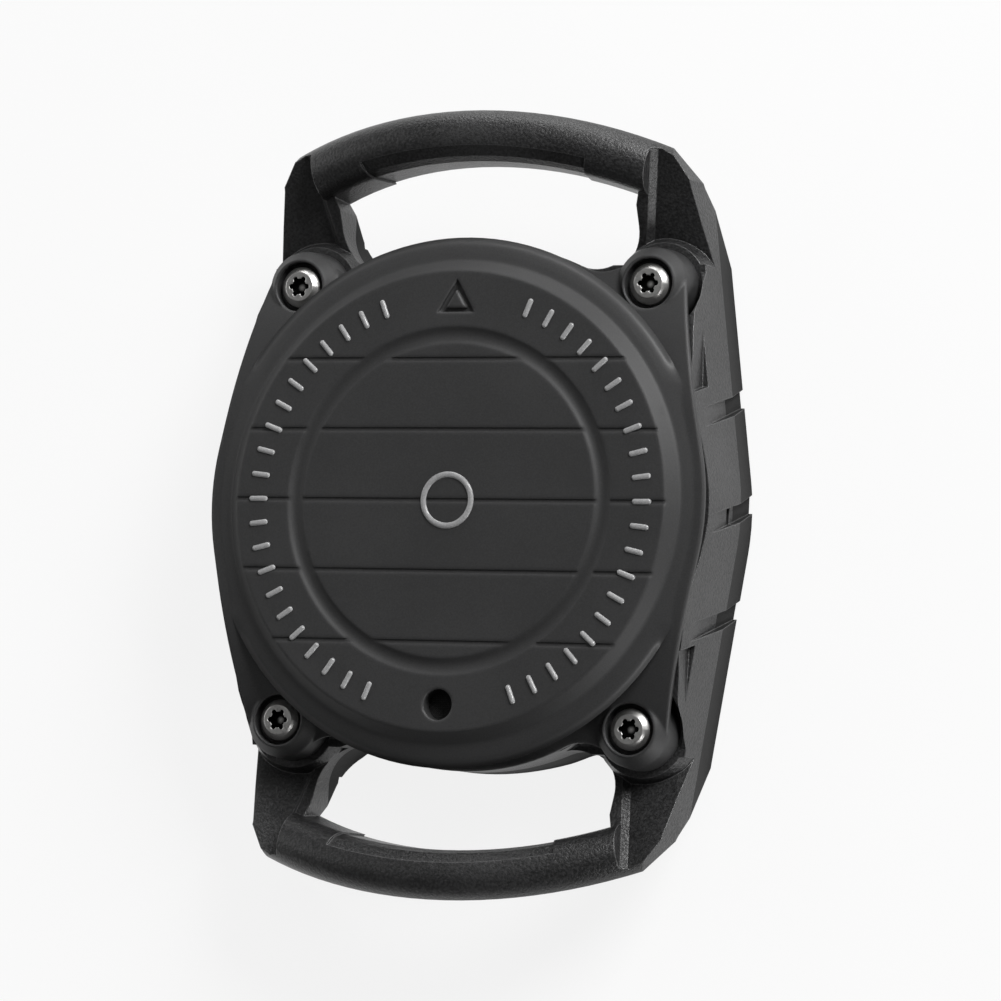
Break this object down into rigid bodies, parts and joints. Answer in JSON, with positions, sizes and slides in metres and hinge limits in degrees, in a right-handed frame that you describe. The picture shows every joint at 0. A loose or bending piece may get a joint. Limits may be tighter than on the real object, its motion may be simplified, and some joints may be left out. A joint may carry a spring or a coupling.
{
  "type": "tracker tag holder",
  "caption": "Slim case that holds a round tracking tag under a screwed-down sealed cover, with a slotted bar at each end for a strap or collar.",
  "frame": {"origin": "middle of the flat back, on the plane that lies against the wearer or the bag", "axes": "+X across the strap to the right of the front, +Y along the strap to the bar above the triangular mark, +Z out of the front"},
  "size_m": [0.0402, 0.0588, 0.0116],
  "materials": {
    "frame_plastic": "fine spark-eroded texture, matte black",
    "cover_plastic": "satin smoke charcoal",
    "screw_steel": "bright nickel-plated",
    "insert_brass": "turned and knurled",
    "seal_rubber": "smooth moulded silicone",
    "cushion_rubber": "soft closed-cell foam",
    "tape": "thin adhesive film",
    "membrane_fabric": "fine woven water-repellent membrane"
  },
  "bodies": {
    "frame": {"base_frame": "frame_plastic", "upper_right_insert": "insert_brass", "upper_left_insert": "insert_brass", "lower_left_insert": "insert_brass", "lower_right_insert": "insert_brass", "cover_seal": "seal_rubber", "rear_cushion": "cushion_rubber"},
    "cover": {"front_cover": "cover_plastic", "front_cushion": "cushion_rubber", "membrane_tape": "tape", "sound_membrane": "membrane_fabric"},
    "upper_right_screw": {"upper_right_screw": "screw_steel"},
    "upper_left_screw": {"upper_left_screw": "screw_steel"},
    "lower_left_screw": {"lower_left_screw": "screw_steel"},
    "lower_right_screw": {"lower_right_screw": "screw_steel"}
  },
  "joints": [
    {"name": "cover_lift", "type": "slide", "parent": "frame", "child": "cover", "axis": [0, 0, 1], "range_m": [0, 0.015]},
    {"name": "upper_right_turn", "type": "hinge", "parent": "cover", "child": "upper_right_screw", "pos_m": [0.0141, 0.0164, 0.006], "axis": [0, 0, 1], "continuous": true},
    {"name": "upper_left_turn", "type": "hinge", "parent": "cover", "child": "upper_left_screw", "pos_m": [-0.0141, 0.0164, 0.006], "axis": [0, 0, 1], "continuous": true},
    {"name": "lower_left_turn", "type": "hinge", "parent": "cover", "child": "lower_left_screw", "pos_m": [-0.0141, -0.0164, 0.006], "axis": [0, 0, 1], "continuous": true},
    {"name": "lower_right_turn", "type": "hinge", "parent": "cover", "child": "lower_right_screw", "pos_m": [0.0141, -0.0164, 0.006], "axis": [0, 0, 1], "continuous": true}
  ]
}
